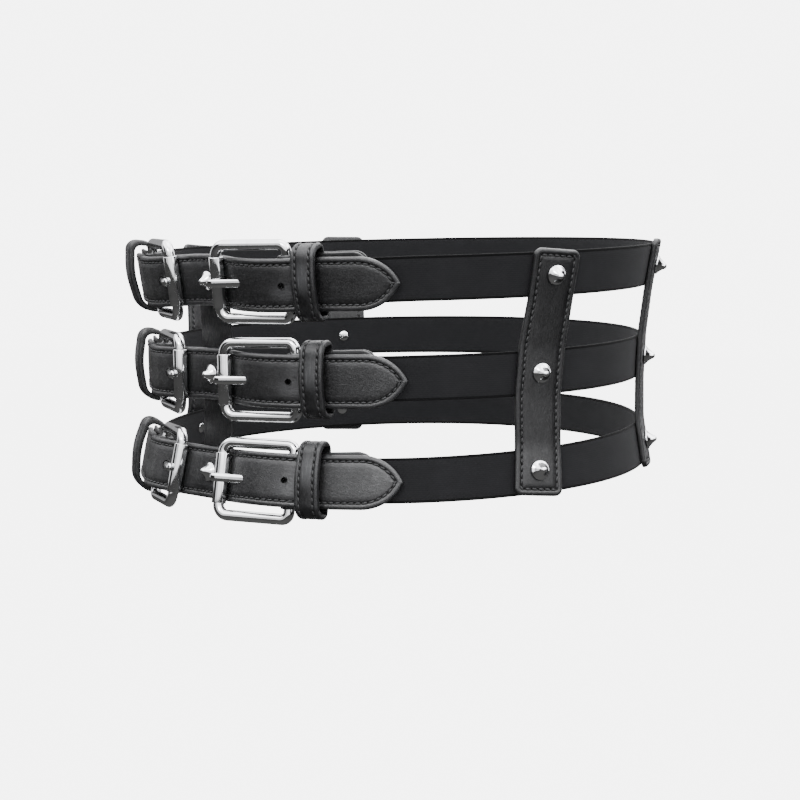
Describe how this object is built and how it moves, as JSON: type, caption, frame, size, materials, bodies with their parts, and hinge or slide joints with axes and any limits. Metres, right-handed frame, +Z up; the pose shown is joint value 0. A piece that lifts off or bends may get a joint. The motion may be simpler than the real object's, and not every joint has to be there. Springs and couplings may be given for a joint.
{
  "type": "three-row cinch belt",
  "caption": "Cinch belt of elastic rows with leather front straps, roller buckles, keepers, upright straps and cone studs, fastened as worn.",
  "frame": {"origin": "middle of the waist hollow, level with the middle row at the wearer's sides", "axes": "+X to the wearer's left, -Y to the centre front, +Z up along the body"},
  "size_m": [0.2804, 0.239, 0.1307],
  "materials": {
    "leather": "black grained leather with turned and stitched edges, a soft sheen",
    "elastic": "matt black ribbed elastic webbing",
    "chrome": "bright nickel plating, polished"
  },
  "bodies": {
    "root": {"elastic_top": "elastic", "elastic_middle": "elastic", "elastic_bottom": "elastic", "buckle_frame_top_left": "chrome", "roller_top_left": "chrome", "prong_top_left": "chrome", "buckle_frame_top_right": "chrome", "roller_top_right": "chrome", "prong_top_right": "chrome", "buckle_frame_middle_left": "chrome", "roller_middle_left": "chrome", "prong_middle_left": "chrome", "buckle_frame_middle_right": "chrome", "roller_middle_right": "chrome", "prong_middle_right": "chrome", "buckle_frame_bottom_left": "chrome", "roller_bottom_left": "chrome", "prong_bottom_left": "chrome", "buckle_frame_bottom_right": "chrome", "roller_bottom_right": "chrome", "prong_bottom_right": "chrome", "front_strap_top": "leather", "front_strap_middle": "leather", "front_strap_bottom": "leather", "end_tab_top_left": "leather", "end_tab_top_right": "leather", "end_tab_middle_left": "leather", "end_tab_middle_right": "leather", "end_tab_bottom_left": "leather", "end_tab_bottom_right": "leather", "keeper_top_left": "leather", "keeper_top_right": "leather", "keeper_middle_left": "leather", "keeper_middle_right": "leather", "keeper_bottom_left": "leather", "keeper_bottom_right": "leather", "center_strap": "leather", "side_strap_left": "leather", "back_strap_left": "leather", "side_strap_right": "leather", "back_strap_right": "leather", "stud_center_top": "chrome", "stud_center_middle": "chrome", "stud_center_bottom": "chrome", "stud_side_left_top": "chrome", "stud_side_left_middle": "chrome", "stud_side_left_bottom": "chrome", "stud_back_left_top": "chrome", "stud_back_left_middle": "chrome", "stud_back_left_bottom": "chrome", "stud_side_right_top": "chrome", "stud_side_right_middle": "chrome", "stud_side_right_bottom": "chrome", "stud_back_right_top": "chrome", "stud_back_right_middle": "chrome", "stud_back_right_bottom": "chrome"}
  },
  "joints": []
}
